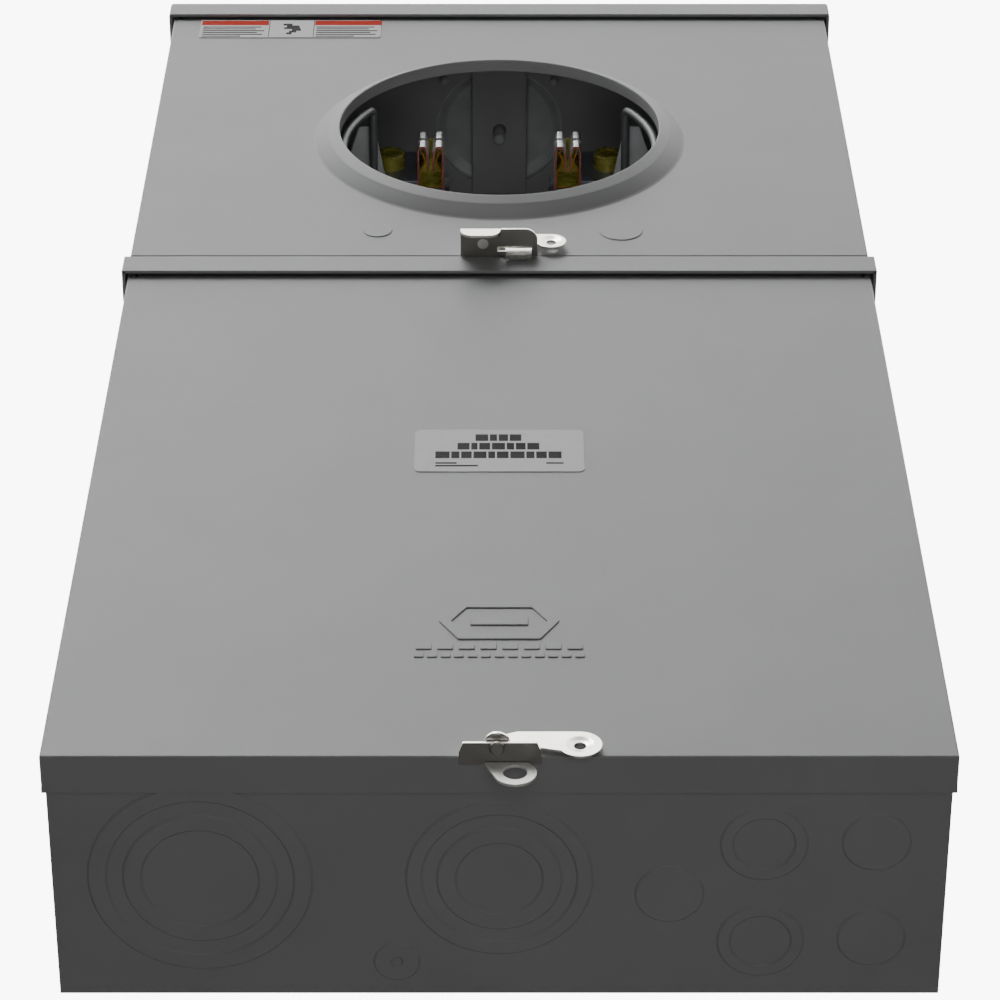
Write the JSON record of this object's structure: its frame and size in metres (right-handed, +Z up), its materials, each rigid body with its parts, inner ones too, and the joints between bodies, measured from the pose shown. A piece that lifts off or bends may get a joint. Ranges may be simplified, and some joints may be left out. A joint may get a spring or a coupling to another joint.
{
  "type": "meter socket enclosure",
  "caption": "Ringless meter socket enclosure: upper socket with round opening and spring jaws, lower main breaker compartment, two swing-out covers with hasp latches.",
  "frame": {"origin": "middle of the back face, where it rests on the wall", "axes": "+Z up, +X to the right seen from the front, +Y into the wall, the covers face -Y"},
  "size_m": [0.368, 0.1364, 0.763],
  "materials": {
    "grey_paint": "light grey powder coat, fine texture",
    "stainless": "bright rolled stainless steel",
    "zinc_plate": "clear zinc plate",
    "yellow_zinc": "yellow chromate zinc plate",
    "tinned_copper": "tin plate over copper",
    "lug_aluminium": "extruded and tin plated",
    "insulator": "moulded grey thermoset",
    "phenolic": "moulded black phenolic",
    "label": "printed vinyl"
  },
  "bodies": {
    "enclosure": {"body_wrapper": "grey_paint", "top_endwall": "grey_paint", "bottom_endwall": "grey_paint", "mid_rail": "grey_paint", "hub_closing_plate": "zinc_plate", "hub_strap": "zinc_plate", "hub_bolt": "zinc_plate", "hub_screw_1": "zinc_plate", "hub_screw_2": "zinc_plate", "hub_screw_3": "zinc_plate", "hub_screw_4": "zinc_plate", "jaw_block_left": "insulator", "line_lug_left": "lug_aluminium", "line_set_screw_left": "yellow_zinc", "load_bus_left": "tinned_copper", "meter_rest_left": "zinc_plate", "rest_bracket_left": "zinc_plate", "jaw_line_left": "tinned_copper", "jaw_load_left": "tinned_copper", "jaw_spring_line_left": "yellow_zinc", "jaw_spring_load_left": "yellow_zinc", "breaker_lug_left": "lug_aluminium", "breaker_lug_screw_left": "zinc_plate", "jaw_block_right": "insulator", "line_lug_right": "lug_aluminium", "line_set_screw_right": "yellow_zinc", "load_bus_right": "tinned_copper", "meter_rest_right": "zinc_plate", "rest_bracket_right": "zinc_plate", "jaw_line_right": "tinned_copper", "jaw_load_right": "tinned_copper", "jaw_spring_line_right": "yellow_zinc", "jaw_spring_load_right": "yellow_zinc", "breaker_lug_right": "lug_aluminium", "breaker_lug_screw_right": "zinc_plate", "breaker_pan": "zinc_plate", "breaker_case": "phenolic", "dead_front": "grey_paint", "neutral_foot": "insulator", "neutral_bar": "lug_aluminium", "neutral_screw_1": "zinc_plate", "neutral_screw_2": "zinc_plate", "neutral_screw_3": "zinc_plate", "ground_lug": "lug_aluminium"},
    "meter_cover": {"meter_cover": "grey_paint", "meter_latch_plate": "stainless", "meter_latch_pin": "stainless", "warning_label": "label"},
    "meter_hasp": {"meter_latch_hasp": "stainless"},
    "breaker_cover": {"breaker_cover": "grey_paint", "main_latch_plate": "stainless", "main_latch_pin": "stainless", "main_latch_eye": "stainless", "main_label": "label"},
    "main_hasp": {"main_latch_hasp": "stainless"},
    "breaker_handle": {"breaker_handle": "phenolic"}
  },
  "joints": [
    {"name": "meter_cover_hinge", "type": "hinge", "parent": "enclosure", "child": "meter_cover", "pos_m": [0, -0.1213, 0.3527], "axis": [-1, 0, 0], "range_deg": [0, 80]},
    {"name": "breaker_cover_hinge", "type": "hinge", "parent": "enclosure", "child": "breaker_cover", "pos_m": [0, -0.118, 0.044], "axis": [-1, 0, 0], "range_deg": [0, 80]},
    {"name": "meter_hasp_pivot", "type": "hinge", "parent": "meter_cover", "child": "meter_hasp", "pos_m": [-0.008, -0.1283, 0.068], "axis": [0, 0, -1], "range_deg": [0, 100]},
    {"name": "main_hasp_pivot", "type": "hinge", "parent": "breaker_cover", "child": "main_hasp", "pos_m": [-0.0009, -0.1236, -0.368], "axis": [0, 0, -1], "range_deg": [0, 100]},
    {"name": "breaker_toggle", "type": "hinge", "parent": "enclosure", "child": "breaker_handle", "pos_m": [0, -0.076, -0.114], "axis": [1, 0, 0], "range_deg": [0, 40]}
  ]
}
